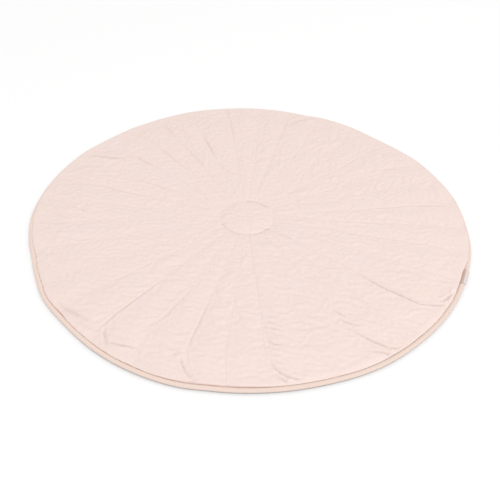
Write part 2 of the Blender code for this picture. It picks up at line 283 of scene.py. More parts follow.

# How the edge goes round: the angle in degrees, how far it draws in from the CAD's smooth outline in
# millimetres, how far the groove between pad and piping stands open, 1 being ordinary, how far back from the
# outline the pad lies in millimetres, less than nothing where it bulges over the piping, and how dark the
# piping's underside is painted as shade, 1 being ordinary
Round = namedtuple("Round", "angle drawn_in opening back shade")
EDGE_ROUND = tuple(map(Round._make, (
    (0, 0.2, 0.3, -4.0, 0.2),
    (10, -1.8, 0.3, -4.0, 0.1),
    (20, 0.6, 0.3, -3.8, 0.1),
    (32, 1.6, 0.3, -2.5, 0.1),
    (42, 5.0, 0.3, -2.0, 0.1),
    (52, 5.2, 0.4, -1.5, 0.2),
    (62, 4.4, 0.4, -1.5, 0.2),
    (72, 5.6, 0.5, -1.5, 0.3),
    (90, 2.0, 0.4, -1.5, 0.3),
    (105, 3.6, 0.4, -1.5, 0.3),
    (120, 4.2, 0.6, -1.5, 0.3),
    (130, 2.8, 0.4, -1.5, 0.3),
    (140, 5.4, 0.4, -2.0, 0.2),
    (150, 4.0, 0.4, -2.5, 0.2),
    (164, 2.8, 0.2, -3.5, 0.3),
    (174, 2.4, 0.2, -3.5, 0.3),
    (186, 2.2, -0.15, -1.2, 0.6),
    (195, 3.9, -0.15, 0.2, 0.4),
    (202, 4.4, -0.15, 0.6, 0.4),
    (209, 4.4, -0.15, 0.6, 0.8),
    (214, 4.2, 0.8, 0.2, 0.8),
    (221, 3.9, 1.9, -0.8, 0.9),
    (225, 4.1, 0.4, 0.0, 0.9),
    (230, 4.2, -0.15, 0.2, 1.1),
    (235, 3.4, 0.5, 0.2, 1.3),
    (240, 2.1, 0.3, 0.3, 1.35),
    (245, 2.0, 0.9, 0.0, 1.25),
    (250, 2.0, 1.1, -0.8, 1.2),
    (256, 2.1, 1.7, -0.4, 1.15),
    (261, 2.0, 2.4, -0.2, 1.2),
    (271, 2.7, 1.9, 0.6, 1.45),
    (275, 2.5, 0.8, 0.8, 1.4),
    (279, 2.2, -0.15, 0.9, 1.3),
    (290, 1.6, -0.15, 1.2, 1.25),
    (298, 0.6, -0.15, 1.0, 1.2),
    (306, 0.7, 0.1, 0.8, 1.15),
    (310, 1.0, 0.7, 0.6, 1.2),
    (315, 0.5, -0.15, 0.8, 1.2),
    (324, -0.6, -0.15, 0.6, 1.1),
    (330, -0.6, -0.15, 0.8, 0.9),
    (335, -0.6, 0.0, 2.0, 0.8),
    (338, -0.5, 0.5, 2.4, 0.8),
    (341, -0.5, 0.3, 2.2, 0.7),
    (343, -0.5, -0.1, 0.4, 0.6),
    (346, -0.9, 0.0, -2.4, 0.5),
    (351, -1.2, 0.3, -3.5, 0.4),
)))


def round_edge(angle, part):
    """One part of EDGE_ROUND at angles in degrees."""
    given = [row.angle for row in EDGE_ROUND]
    return np.interp(angle, given, [getattr(row, part) for row in EDGE_ROUND], period=360.0)


def rim_rows():
    """The mat's outline as angles in degrees and radii, read from the outermost points of the CAD piping."""
    points = np.array([vertex.co[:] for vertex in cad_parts["piping"].data.vertices])
    angles = np.round(np.degrees(np.arctan2(points[:, 1], points[:, 0])) % 360.0, 2)
    radii = np.hypot(points[:, 0], points[:, 1])
    rows = sorted({angle: radii[angles == angle].max() for angle in angles}.items())
    angles, radii = np.array([row[0] for row in rows]), np.array([row[1] for row in rows])
    return angles, radii - round_edge(angles, "drawn_in") / 1000.0


RIM_ANGLES, RIM_RADII = rim_rows()
MAT_RADIUS = float(RIM_RADII.mean())


def linear(hex_colour):
    """The linear colour of an sRGB hex value."""
    parts = [int(hex_colour[start : start + 2], 16) / 255.0 for start in (1, 3, 5)]
    return tuple(v / 12.92 if v <= 0.04045 else ((v + 0.055) / 1.055) ** 2.4 for v in parts)


def length_setting(name, description, default):
    """A length that a user can change, in metres."""
    return FloatProperty(
        name=name, description=description, default=default, min=0.0, subtype="DISTANCE", unit="LENGTH"
    )


def colour_setting(name, description, hex_colour):
    """A colour that a user can change."""
    return FloatVectorProperty(
        name=name, description=description, default=linear(hex_colour), min=0.0, max=1.0, subtype="COLOR"
    )


class PadSettings(bpy.types.PropertyGroup):
    """What a user would change on the quilted pad."""

    seam_height: length_setting("Seam height", "Height of the face at its seams", 0.0118)
    gore_rise: length_setting("Gore rise", "How far a very wide gore rises above the centre seam", 0.0078)
    valley: length_setting("Valley", "Depth of the soft valleys along the seams of very wide gores", 0.0045)
    rim_fall: length_setting("Rim fall", "How far the face sinks towards the piping", 0.0042)
    centre_rise: length_setting("Centre rise", "How far the centre circle is crowned", 0.0045)
    stitch_groove: length_setting("Stitch groove", "Depth of the narrow groove under the thread", 0.0003)
    creasing: FloatProperty(
        name="Creasing", description="Strength of the larger creases, 1 being as drawn", default=1.6, min=0.0
    )
    gathering: FloatProperty(
        name="Gathering", description="Strength of the folds, 1 being as simulated", default=1.25, min=0.0
    )
    crinkle: length_setting("Crinkle", "Depth of the small folds all over the cloth", 0.0009)
    ripple: length_setting("Ripple", "Height of the cloth's soft lumps and ripples", 0.0006)
    underside_channel: length_setting("Underside channel", "Depth of the seams in the underside", 0.0016)
    columns_per_gore: IntProperty(
        name="Columns", description="Columns of faces in a gore", default=42, min=12, max=60
    )
    cotton: colour_setting("Cotton", "Colour of the face and the underside", "#EBD8D1")
    # Painted shade: the cloth is painted this darker colour deep in the largest creases
    folds: colour_setting("Folds", "Colour deep in the largest creases", "#D6C4BA")


class StitchSettings(bpy.types.PropertyGroup):
    """What a user would change on the seam stitching."""

    pitch: length_setting("Pitch", "Distance from one stitch to the next", 0.0036)
    length: length_setting("Length", "Length of one stitch", 0.0027)
    thickness: length_setting("Thickness", "Width of the thread", 0.0005)
    thread: colour_setting("Thread", "Colour of the thread", "#EADAD2")


class PipingSettings(bpy.types.PropertyGroup):
    """What a user would change on the piping."""

    radius: length_setting("Radius", "Radius of the covered cord", PIPING_RADIUS)
    pucker: length_setting("Pucker", "Height of the small puckers in its cover", 0.00016)
    cotton: colour_setting("Cotton", "Colour of the cover", "#EBD4C8")
    # Painted shade: the cover is painted this darker colour where it turns under towards the floor
    shade: colour_setting("Shade", "Colour of the cover where it turns under, down to the floor", "#9E9692")


class LabelSettings(bpy.types.PropertyGroup):
    """What a user would change on the side label."""

    length: length_setting("Length", "Length along the edge", 0.045)
    free_end: length_setting("Free end", "How far it stands off the piping", 0.0032)
    tape: length_setting("Tape thickness", "Thickness of one layer of tape", 0.00044)
    rose: colour_setting("Rose", "Colour of the half next to the pad", "#C7AC9D")
    pale: colour_setting("Pale", "Colour of the outer half", "#DDCEC9")
    # Painted shade: this greyer colour is painted along the fold at the free end and on the layer under it
    fold: colour_setting("Fold", "Colour along the fold at the free end", "#CFC4BF")


class StageSettings(bpy.types.PropertyGroup):
    """What a user would change on the stage."""

    floor_size: length_setting("Floor size", "Width of the square floor", 14.0)
    dome: FloatProperty(name="Dome", description="Strength of the light from all round", default=0.9, min=0.0)
    softbox: FloatProperty(
        name="Softbox", description="Power of the softbox on the right", default=137.0, min=0.0, unit="POWER"
    )
    floor: colour_setting("Floor", "Colour of the floor", "#DDDDDD")
    glow: FloatProperty(
        name="Glow", description="How much light the floor gives off itself", default=0.235, min=0.0
    )


def blend(first, second, share):
    return first + (second - first) * share


def smooth(share):
    """0 up to a share of 0 and 1 from a share of 1, with an even slope at both."""
    share = np.clip(share, 0.0, 1.0)
    return share * share * (3.0 - 2.0 * share)


def outline_radius(angle):
    """The mat's radius at angles in degrees."""
    return np.interp(angle, RIM_ANGLES, RIM_RADII, period=360.0)


def seam_angle(number, radius):
    """The angle of seams at radii: straight to LEAN_START, then leaning round to LEAN_END."""
    return SEAM_ANGLE[number] + SEAM_LEAN[number] * smooth((radius - LEAN_START) / (LEAN_END - LEAN_START))


def column_angle(gore, share, radius):
    """The angle of a column at a share of its gore's width, and the gore's width there in degrees."""
    first = seam_angle(gore, radius)
    width = (seam_angle((gore + 1) % len(SEAMS), radius) - first) % 360.0
    return first + width * share, width


def pillow(share):
    """How far a gore has risen at a share of its width: 0 at its seams and 1 in the middle."""
    return 1.0 - np.abs(2.0 * share - 1.0) ** PILLOW_POWER


def columns(count):
    """The gore and the share of its width of each column round the mat, closer together by the seams."""
    even = np.arange(count) / count
    shares = even - CROWDING * np.sin(2.0 * np.pi * even) / (2.0 * np.pi)
    gores = np.repeat(np.arange(len(SEAMS)), count)
    return gores, np.tile(shares, len(SEAMS))


def face_height(settings, gore, share, radius):
    """The height of the padded face outside the centre circle: gores whose middles rise with their width,
    and soft valleys along the seams between them."""
    width = radius * np.radians(column_angle(gore, share, radius)[1])
    near_centre = 1.0 - np.exp(-(radius - CENTRE_SEAM_RADIUS) / CENTRE_SEAM_REACH)
    crest = settings.gore_rise * FULLNESS[gore] * width / (width + HALF_RISE_WIDTH)
    valley = settings.valley * (width / (width + HALF_RISE_WIDTH)) ** 3
    drawn = blend(SEAM_DRAWN[gore], SEAM_DRAWN[(gore + 1) % len(SEAMS)], share)
    lift = np.sin(np.pi * share) ** 1.2
    to_rim = outline_radius(column_angle(gore, share, MAT_RADIUS)[0]) - EDGE_START - radius
    fall = settings.rim_fall * smooth(1.0 - to_rim / RIM_FALL_WIDTH)
    return settings.seam_height + near_centre * (crest - (valley + drawn) * (1.0 - lift)) - fall


def disc_height(settings, radius):
    """The height of the crowned centre circle inside its seam."""
    return settings.seam_height + settings.centre_rise * (1.0 - (radius / CENTRE_SEAM_RADIUS) ** 3)


def plan(angle, radius):
    """Plan points at angles in degrees and radii, which near the centre lie round the centre circle's own
    middle."""
    turn = np.radians(angle)
    shift = np.exp(-((radius / CENTRE_SHIFT_REACH) ** 2))
    x = radius * np.cos(turn) + CENTRE_SHIFT[0] * shift
    y = radius * np.sin(turn) + CENTRE_SHIFT[1] * shift
    return np.stack([x, y], axis=-1)


def smooth_route(route, steps=8):
    """A route's plan points with more between them, on a smooth curve through them all."""
    given = np.array([plan(angle, radius) for angle, radius in route])
    padded = np.vstack([2 * given[0] - given[1], given, 2 * given[-1] - given[-2]])
    points = []
    for before, start, end, after in zip(padded, padded[1:], padded[2:], padded[3:]):
        for step in range(steps):
            t = step / steps
            bend = 2 * before - 5 * start + 4 * end - after
            twist = 3 * start - before - 3 * end + after
            points.append(start + 0.5 * t * (end - before + t * (bend + t * twist)))
    return np.array(points + [given[-1]])


def trough(points, route, depth, width):
    """How far one crease lowers each plan point: a sharp fold that fades out at both ends, with cloth
    pushed up a little on either side."""
    route = smooth_route(route)
    reach = 5.0 * width
    low, high = route.min(axis=0) - reach, route.max(axis=0) + reach
    near = np.nonzero(np.all((points > low) & (points < high), axis=1))[0]
    chosen = points[near]
    away = np.full(len(near), np.inf)
    along = np.zeros(len(near))
    for number, (start, end) in enumerate(zip(route, route[1:])):
        run = end - start
        share = np.clip((chosen - start) @ run / (run @ run), 0.0, 1.0)
        gap = np.linalg.norm(chosen - start - share[:, None] * run, axis=1)
        nearer = gap < away
        away[nearer] = gap[nearer]
        along[nearer] = (number + share[nearer]) / (len(route) - 1)
    fade = np.clip(np.sin(np.pi * along), 0.0, 1.0) ** 0.7
    shape = np.exp(-away / (0.8 * width)) - 0.35 * np.exp(-(((away - 2.2 * width) / width) ** 2))
    drop = np.zeros(len(points))
    drop[near] = depth * fade * shape
    return drop


def crease_drop(settings, crease, points):
    """How far one of the larger creases lowers each plan point."""
    return settings.creasing * trough(points, crease.route, crease.depth / 1000.0, crease.width / 1000.0)


def feather_creases(feather):
    """The short wrinkles of one feather, as creases."""
    made = []
    count = int((feather.end - feather.start) / feather.spacing)
    for number in range(count + 1):
        vary = float(wave(np.array([[number * 1.7, feather.angle]]), 1.0, 18)[0])
        radius = feather.start + feather.spacing * (number + 0.6 * vary)
        start = feather.angle + math.degrees(feather.side * 0.003 / radius)
        turn = math.degrees(feather.side * feather.length * (0.85 + 0.5 * vary) / radius)
        middle = (start + 0.5 * turn, radius + 0.30 * feather.length)
        route = ((start, radius), middle, (start + turn, radius + 0.72 * feather.length))
        made.append(Crease(feather.depth * (1.0 + 0.5 * vary), 3.0, route))
    return made


def wave(points, size, seed):
    """Smooth noise of about -1 to 1 at plan points, size being its grain in metres."""
    scaled = points / size
    cell = np.floor(scaled).astype(np.int64)
    part = scaled - cell
    ease = smooth(part)

    def corner(right, up):
        key = (cell[:, 0] + right) * 374761393 + (cell[:, 1] + up) * 668265263 + seed * 1442695041
        key = ((key ^ (key >> 13)) * 1274126177) & 0xFFFFFF
        turn = (key ^ (key >> 11)) % 4096 * (2.0 * np.pi / 4096.0)
        return np.cos(turn) * (part[:, 0] - right) + np.sin(turn) * (part[:, 1] - up)

    low = blend(corner(0, 0), corner(1, 0), ease[:, 0])
    high = blend(corner(0, 1), corner(1, 1), ease[:, 0])
    return 1.5 * blend(low, high, ease[:, 1])


def billows(points, size, seed):
    """Soft rounded lumps with narrow folds between them, 0 in the folds and about 1 on the lumps."""
    heights = 1.6 * np.abs(wave(points, size, seed)) ** 0.85
    return heights * (0.75 + 0.7 * wave(points, 3.5 * size, seed + 50))


def between(value, start, end, fade):
    """1 from start to end and 0 beyond them, fading over a length on either side."""
    return smooth((value - start) / fade + 0.5) * smooth((end - value) / fade + 0.5)


def all_creases():
    """The larger creases and the wrinkles of every feather."""
    creases = list(CREASES)
    for feather in FEATHERS:
        creases += feather_creases(feather)
    return creases


def sector(angle, start, end, fade):
    """1 at angles from start to end and 0 beyond them, fading over some degrees on either side."""
    off = np.abs((angle - (start + end) / 2.0 + 180.0) % 360.0 - 180.0)
    return smooth(((end - start) / 2.0 - off) / fade + 0.5)


def as_cut(points):
    """Where plan points of the face lay in the cloth as it was cut: further apart all over, and most across
    the run of its folds."""
    turn = math.radians(FOLD_DIRECTION)
    across = np.array([-math.sin(turn), math.cos(turn)])
    back = smooth((points @ np.array([0.25, 0.97])) / 0.30)[:, None]
    folded = FOLD_SLACK * (1.0 - back) * (points @ across)[:, None] * across
    even = blend(*EVEN_SLACK, back) * points
    # Cloth never lies evenly before it is sewn
    uneven = 0.0004 * np.column_stack([wave(points, 0.030, 42), wave(points, 0.030, 43)])
    return points + folded + even + uneven


def gathered_cloth():
    """Cloth cut a little too big, gathered onto the mat's seams by Blender's Cloth and held up by the wadding
    under it. Gives its heights at the knots of a square net round the middle of the mat."""
    half = math.ceil(0.49 / NET_STEP)
    steps = NET_STEP * np.arange(-half, half + 1)
    x, y = np.meshgrid(steps, steps)
    square = np.column_stack([x.ravel(), y.ravel()])
    shift = np.exp(-((np.hypot(square[:, 0], square[:, 1]) / CENTRE_SHIFT_REACH) ** 2))
    flat = square - shift[:, None] * CENTRE_SHIFT
    radius = np.hypot(flat[:, 0], flat[:, 1])
    angle = np.degrees(np.arctan2(flat[:, 1], flat[:, 0])) % 360.0
    rim = outline_radius(angle) - EDGE_START
    inside = radius < rim + NET_STEP
    number = np.cumsum(inside) - 1
    knots, radius, angle = square[inside], radius[inside], angle[inside]
    corner = np.arange(len(square)).reshape(x.shape)[:-1, :-1].ravel()
    corners = np.column_stack([corner, corner + 1, corner + len(steps) + 1, corner + len(steps)])
    faces = number[corners[inside[corners].all(axis=1)]]
    # Sewn down along the radial seams, the centre circle's seam and the rim
    off = np.full(len(knots), np.inf)
    for seam in range(len(SEAMS)):
        apart = (angle - seam_angle(seam, radius) + 180.0) % 360.0 - 180.0
        off = np.minimum(off, radius * np.radians(np.abs(apart)))
    off[radius < CENTRE_SEAM_RADIUS] = np.inf
    off = np.minimum(off, np.abs(radius - CENTRE_SEAM_RADIUS))
    sewn = (off < 0.55 * NET_STEP) | (radius > rim[inside] - NET_STEP)
    start = 0.0003 * wave(knots, 0.009, 40)
    data = bpy.data.meshes.new("gathered cloth")
    data.from_pydata(np.column_stack([as_cut(knots), start]).tolist(), [], faces.tolist())
    net = bpy.data.objects.new("gathered cloth", data)
    bpy.context.scene.collection.objects.link(net)
    group = net.vertex_groups.new(name="sewn")
    group.add(np.nonzero(sewn)[0].tolist(), 1.0, "REPLACE")
    # The wadding holds loose cloth back firmly in some places and hardly in others
    firmness = np.round(np.clip(0.20 + 0.16 * wave(knots, 0.07, 41), 0.06, 0.34), 2)
    for value in np.unique(firmness):
        group.add(np.nonzero(~sewn & (firmness == value))[0].tolist(), float(value), "REPLACE")
    net.shape_key_add(name="cut")
    gathered = net.shape_key_add(name="sewn")
    gathered.data.foreach_set("co", np.column_stack([knots, start]).astype(np.float32).ravel())
    for value, number_of_frame in ((0.0, 1), (1.0, 1 + GATHER_FRAMES)):
        gathered.value = value
        gathered.keyframe_insert("value", frame=number_of_frame)
    cloth = net.modifiers.new("cloth", "CLOTH")
    for name, value in CLOTH_NATURE.items():
        setattr(cloth.settings, name, value)
    cloth.settings.vertex_group_mass = "sewn"
    cloth.settings.effector_weights.gravity = 0.0
    cloth.collision_settings.use_collision = False
    last = 1 + GATHER_FRAMES + SETTLE_FRAMES
    cloth.point_cache.frame_end = last
    for frame_number in range(1, last + 1):
        bpy.context.scene.frame_set(frame_number)
    settled = net.evaluated_get(bpy.context.evaluated_depsgraph_get()).data
    points = np.empty(3 * len(settled.vertices), dtype=np.float32)
    settled.vertices.foreach_get("co", points)
    heights = np.zeros(len(square))
    heights[inside] = np.clip(points.reshape(-1, 3)[:, 2], -NET_CAP, NET_CAP)
    bpy.context.scene.frame_set(1)
    action = data.shape_keys.animation_data.action
    bpy.data.objects.remove(net)
    bpy.data.meshes.remove(data)
    bpy.data.actions.remove(action)
    return heights.reshape(x.shape)


def net_height(heights, points):
    """The gathered cloth's height at plan points, smoothed from the knots round each."""
    place = points / NET_STEP + (len(heights) - 1) / 2.0
    cell = np.floor(place).astype(int)
    part = place - cell
    weights = np.stack(
        [(1 - part) ** 3, 3 * part**3 - 6 * part**2 + 4, -3 * part**3 + 3 * part**2 + 3 * part + 1, part**3]
    )
    found = np.zeros(len(points))
    for up in range(4):
        rows = np.clip(cell[:, 1] + up - 1, 0, len(heights) - 1)
        for right in range(4):
            here = heights[rows, np.clip(cell[:, 0] + right - 1, 0, len(heights) - 1)]
            found += weights[right, :, 0] * weights[up, :, 1] / 36.0 * here
    return found


def loose_cloth(settings, angle, points):
    """What loose cloth does between its seams: folds that run together, odd folds, and soft lumps."""
    # Folds wander a little, so their points are shifted by a slow wave first
    drift = np.column_stack([wave(points, 0.05, 2), wave(points, 0.05, 3)])
    loose = points + 0.014 * drift
    relief = np.zeros(len(points))
    total = np.zeros(len(points))
    for number, run in enumerate(RUNS):
        there = sector(angle, run.start, run.end, 24.0)
        turn = math.radians(run.direction)
        along = loose[:, 0] * math.cos(turn) + loose[:, 1] * math.sin(turn)
        across = loose[:, 1] * math.cos(turn) - loose[:, 0] * math.sin(turn)
        slim = np.column_stack([along / 2.1, across])
        folds = billows(slim, 0.0155, 20 + number) + 0.45 * billows(slim, 0.0085, 30 + number)
        relief += there * folds
        total += there
    # Some places lie smoother than others
    lively = np.clip(0.9 + 0.9 * wave(points, 0.11, 12), 0.35, 1.5)
    relief = settings.crinkle * lively * (relief / np.maximum(total, 0.1) - 0.7)
    relief += settings.crinkle * 0.7 * (billows(loose, 0.034, 8) - 0.5)
    relief += settings.ripple * 1.2 * wave(loose, 0.060, 11)
    return relief


def cloth_relief(settings, gore, share, radius):
    """What the cloth adds to the smooth face outside the centre circle."""
    angle, width = column_angle(gore, share, radius)
    points = plan(angle, radius)
    to_seam = np.minimum(share, 1.0 - share) * radius * np.radians(width)
    nearest = np.where(share < 0.5, gore, (gore + 1) % len(SEAMS))
    # The thread lies deeper in some stretches of a seam than in others, and least near the centre
    along = np.column_stack([radius / 0.05, nearest * 3.7])
    mark = SEAM_MARK[nearest] * np.clip(0.6 + 1.0 * wave(along, 1.0, 1), 0.1, 1.6)
    mark = mark * blend(0.25, 1.0, smooth((radius - 0.14) / 0.12))
    relief = -settings.stitch_groove * mark * np.exp(-to_seam / 0.0018)
    # Puckers across each seam, where its thread gathers the cloth
    puckers = np.column_stack([radius / 0.0105, gore * 5.0 + share * 1.6])
    by_seam = np.exp(-to_seam / 0.009) * np.clip(to_seam / 0.002, 0.0, 1.0) * np.clip(mark, 0.3, 1.2)
    relief += settings.ripple * 0.7 * by_seam * wave(puckers, 1.0, 7)
    held = 0.30 + 0.70 * smooth(to_seam / 0.010)
    relief += loose_cloth(settings, angle, points) * held
    near_centre = smooth((radius - CENTRE_SEAM_RADIUS) / 0.010)
    return relief * near_centre


def centre_seam(angle, radius):
    """How far the centre circle's stitching pulls the cloth down, by stretches."""
    away = np.abs(radius - CENTRE_SEAM_RADIUS)
    drop = 0.0
    for stretch in CENTRE_SEAM:
        fold = np.exp(-away / (stretch.width / 1000.0)) * sector(angle, stretch.start, stretch.end, 8.0)
        drop = np.maximum(drop, stretch.depth / 1000.0 * fold)
    return drop


def disc_ring(settings, column, radius):
    """A ring of points in the centre circle, up to and with its seam, and how far each has been pulled down,
    which the material paints as shade.
    """
    angle = column_angle(*column, radius)[0]
    points = plan(angle, np.full(len(angle), radius))
    inside = smooth((CENTRE_SEAM_RADIUS - radius) / 0.008)
    drop = centre_seam(angle, radius)
    height = disc_height(settings, radius) + inside * loose_cloth(settings, angle, points) - drop
    return np.column_stack([points, height, drop])


def face_ring(settings, column, radius):
    """A ring of points in the quilted face outside the centre circle, and how far each has been pulled down,
    which the material paints as shade.
    """
    angle = column_angle(*column, radius)[0]
    drop = centre_seam(angle, radius)
    height = face_height(settings, *column, radius) + cloth_relief(settings, *column, radius) - drop
    return np.column_stack([plan(angle, radius), height, drop])


def face_rings(settings):
    """The quilted face as rings of points from the centre circle out to where the edge turns down. The
    inner rings have a third of the outer ones' columns."""
    fine = columns(settings.columns_per_gore)
    coarse = columns(settings.columns_per_gore // 3)
    rings = [disc_ring(settings, coarse, radius) for radius in DISC_RINGS]
    rings += [face_ring(settings, coarse, np.full(len(coarse[0]), radius)) for radius in INNER_RINGS]
    rim = outline_radius(column_angle(*fine, MAT_RADIUS)[0]) - EDGE_START
    for step in range(1, OUTER_RING_COUNT + 1):
        rings.append(face_ring(settings, fine, blend(INNER_RINGS[-1], rim, step / OUTER_RING_COUNT)))
    points = np.concatenate(rings)
    points[:, 2] += settings.gathering * net_height(gathered_cloth(), points[:, :2])
    # Each crease lowers the cloth, and its depth stays with the point for the material's painted shade
    for crease in all_creases():
        drop = crease_drop(settings, crease, points[:, :2])
        points[:, 2] -= drop
        points[:, 3] += drop
    return np.split(points, np.cumsum([len(ring) for ring in rings])[:-1])


def edge_rings(settings, top):
    """The padded edge from the face's last ring down round the bulge and in behind the piping, with the
    creases that run on over it."""
    gore, share = columns(settings.columns_per_gore)
    angle = column_angle(gore, share, MAT_RADIUS)[0]
    outline = outline_radius(angle)
    lift = pillow(share)
    gathers = plan(angle, np.full(len(angle), MAT_RADIUS))
    gathered = 0.4 + between(angle, 196.0, 250.0, 12.0) + between(angle, 270.0, 334.0, 12.0)
    opening = round_edge(angle, "opening") + 0.30 * gathered * wave(gathers, 0.016, 18)
    opening = np.clip(opening, *OPENING_LIMITS)
    back = round_edge(angle, "back") / 1000.0 + 0.0005 * gathered * wave(gathers, 0.012, 19)
    # The pad meets the piping further down its side where the pad lies further back
    reach = PIPING_RADIUS + SEWN_GAP
    met = blend(math.cos(math.radians(TUCK_SEAM)), math.cos(math.radians(TUCK_CREST)), lift) - back / reach
    start = np.degrees(np.arccos(np.clip(met, -0.94, 0.5)))
    deeper = np.maximum(opening - 1.0, 0.0)
    wall = blend(WALL_SEAM, WALL_CREST, lift) * (0.18 + 0.82 * np.minimum(opening, 1.0))
    # Where the groove is closed the cloth comes down to the piping less steeply
    fullness = np.interp(opening, (OPENING_LIMITS[0], 0.0, 0.6), (1.5, 1.0, EDGE_FULLNESS))
    inward = PIPING_RADIUS - reach * np.cos(np.radians(start)) + 0.0005 + 0.0018 * deeper
    height = PIPING_CENTRE_HEIGHT + reach * np.sin(np.radians(start)) + wall
    height = height + 0.0002 * gathered * wave(gathers, 0.017, 15)
    profiles = []
    for turn in np.radians(BULGE_TURNS):
        profiles.append(
            (
                EDGE_START - (EDGE_START - inward) * math.cos(turn) ** fullness,
                height + (top - height) * math.sin(turn) ** fullness,
                (turn / (0.5 * math.pi)) ** 2,
            )
        )
    start = np.minimum(start + 26.0 * deeper, 178.0)
    for tucked in TUCK_SHARES:
        turn = np.radians(blend(start, TUCK_END, tucked))
        profiles.append(
            (PIPING_RADIUS - reach * np.cos(turn), PIPING_CENTRE_HEIGHT + reach * np.sin(turn), 0.0)
        )
    profiles.append((np.full(len(angle), HEEL[0]), np.full(len(angle), HEEL[1]), 0.0))
    profiles.append((np.full(len(angle), UNDERSIDE_EDGE), np.zeros(len(angle)), 0.0))
    rings = []
    for distance, level, fade in profiles:
        radius = outline - distance
        turned = column_angle(gore, share, radius)[0] if fade else angle
        points = plan(turned, radius)
        drop = np.zeros(len(angle))
        if fade:
            for crease in all_creases():
                if max(place[1] for place in crease.route) > MAT_RADIUS - 1.5 * EDGE_START:
                    drop += crease_drop(settings, crease, points) * min(1.0, 1.5 * fade)
        # The crease depth stays with each point for the material's painted shade
        rings.append(np.column_stack([points, level - drop, drop]))
    return rings


def underside_rings(settings):
    """The underside, flat on the floor between the straight channels that the seams draw into it."""
    gore, share = columns(settings.columns_per_gore)
    angle, width = column_angle(gore, share, MAT_RADIUS)
    rim = outline_radius(angle) - UNDERSIDE_EDGE
    rings = []
    for step in range(1, UNDERSIDE_RING_COUNT + 1):
        radius = rim * (1.0 - step / (UNDERSIDE_RING_COUNT + 1.0)) ** 0.9
        to_seam = np.minimum(share, 1.0 - share) * radius * np.radians(width)
        drawn = np.clip((radius - CENTRE_SEAM_RADIUS) / 0.04, 0.0, 1.0)
        drawn = drawn * np.clip((rim - radius) / 0.03, 0.0, 1.0)
        height = settings.underside_channel * np.exp(-((to_seam / 0.004) ** 2)) * drawn
        rings.append(np.column_stack([plan(angle, radius), height, np.zeros(len(angle))]))
    return rings


def join_rings(mesh, inner, outer):
    """Fills the band between two rings. Where the outer ring has three times the columns, each inner edge
    meets three of its edges."""
    count = len(inner)
    if len(outer) == count:
        for column in range(count):
            after = (column + 1) % count
            mesh.faces.new((inner[column], outer[column], outer[after], inner[after]))
        return
    for column in range(count):
        here, after = inner[column], inner[(column + 1) % count]
        far = [outer[(3 * column + step) % (3 * count)] for step in range(4)]
        mesh.faces.new((here, far[0], far[1]))
        mesh.faces.new((here, far[1], far[2], after))
        mesh.faces.new((after, far[2], far[3]))


def link_mesh(name, mesh):
    """Makes a shown, smooth object of a bmesh, with its faces outward."""
    bmesh.ops.recalc_face_normals(mesh, faces=mesh.faces)
    data = bpy.data.meshes.new(name)
    mesh.to_mesh(data)
    mesh.free()
    data.shade_smooth()
    made = bpy.data.objects.new(name, data)
    bpy.context.scene.collection.objects.link(made)
    return made


def hand_over(piece, material, slot, *nodes):
    """Gives a piece its material and its body, and lets it stand for its CAD nodes. The slot is not used."""
    piece.data.materials.clear()
    piece.data.materials.append(material)
    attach(piece, "root")
    if nodes:
        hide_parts(*nodes)


def add_node(tree, kind, settings=None, links=None):
    """Adds a node, sets its properties and its inputs' values, and links inputs to other nodes' outputs."""
    node = tree.nodes.new(kind)
    for name, value in (settings or {}).items():
        if hasattr(node, name):
            setattr(node, name, value)
        else:
            node.inputs[name].default_value = value
    for name, socket in (links or {}).items():
        tree.links.new(socket, node.inputs[name])
    return node


def new_material(name, values):
    """An empty node material with its tree and its shader, which has the values given."""
    material = bpy.data.materials.new(name)
    material.use_nodes = True
    tree = material.node_tree
    tree.nodes.clear()
    shader = add_node(tree, "ShaderNodeBsdfPrincipled", values)
    add_node(tree, "ShaderNodeOutputMaterial", links={"Surface": shader.outputs["BSDF"]})
    return material, tree, shader


def noise(tree, place, scale, detail, roughness=0.5):
    """The height of a noise texture whose grain is about one metre over its scale."""
    values = {"Scale": scale, "Detail": detail, "Roughness": roughness}
    return add_node(tree, "ShaderNodeTexNoise", values, {"Vector": place}).outputs["Fac"]


def ridges(tree, place, direction, pitch, distortion, detail):
    """The height of wavering ridges that lie a pitch apart in metres."""
    values = {
        "bands_direction": direction,
        "Scale": math.pi / 10.0 / pitch,
        "Distortion": distortion,
        "Detail": detail,
    }
    return add_node(tree, "ShaderNodeTexWave", values, {"Vector": place}).outputs["Fac"]


def stretched(tree, value, start, end, to_start=0.0, to_end=1.0):
    """A value stretched from one range onto another and held within it."""
    limits = {"From Min": start, "From Max": end, "To Min": to_start, "To Max": to_end}
    return add_node(tree, "ShaderNodeMapRange", limits, {"Value": value}).outputs[0]


def mixed(tree, share, *colours):
    """A mix of two colours, each of them a fixed one or another node's."""
    node = add_node(tree, "ShaderNodeMix", {"data_type": "RGBA"}, {"Factor": share})
    for socket, colour in zip(node.inputs[6:8], colours):
        if isinstance(colour, bpy.types.NodeSocket):
            tree.links.new(colour, socket)
        else:
            socket.default_value = (*colour, 1.0)
    return node.outputs[2]


def bumped(tree, height, strength, distance, links=None):
    """The normal of a surface with a relief on it."""
    values = {"Strength": strength, "Distance": distance}
    return add_node(tree, "ShaderNodeBump", values, {"Height": height, **(links or {})}).outputs[0]


def plain_weave(tree, place, pitch):
    """The height of a plain weave: warp and weft threads of one pitch, crossing in waves."""
    both = add_node(tree, "ShaderNodeMath", {"operation": "ADD"})
    for socket, direction in zip(both.inputs, "XY"):
        tree.links.new(ridges(tree, place, direction, pitch, 0.6, 1.0), socket)
    return both.outputs[0]


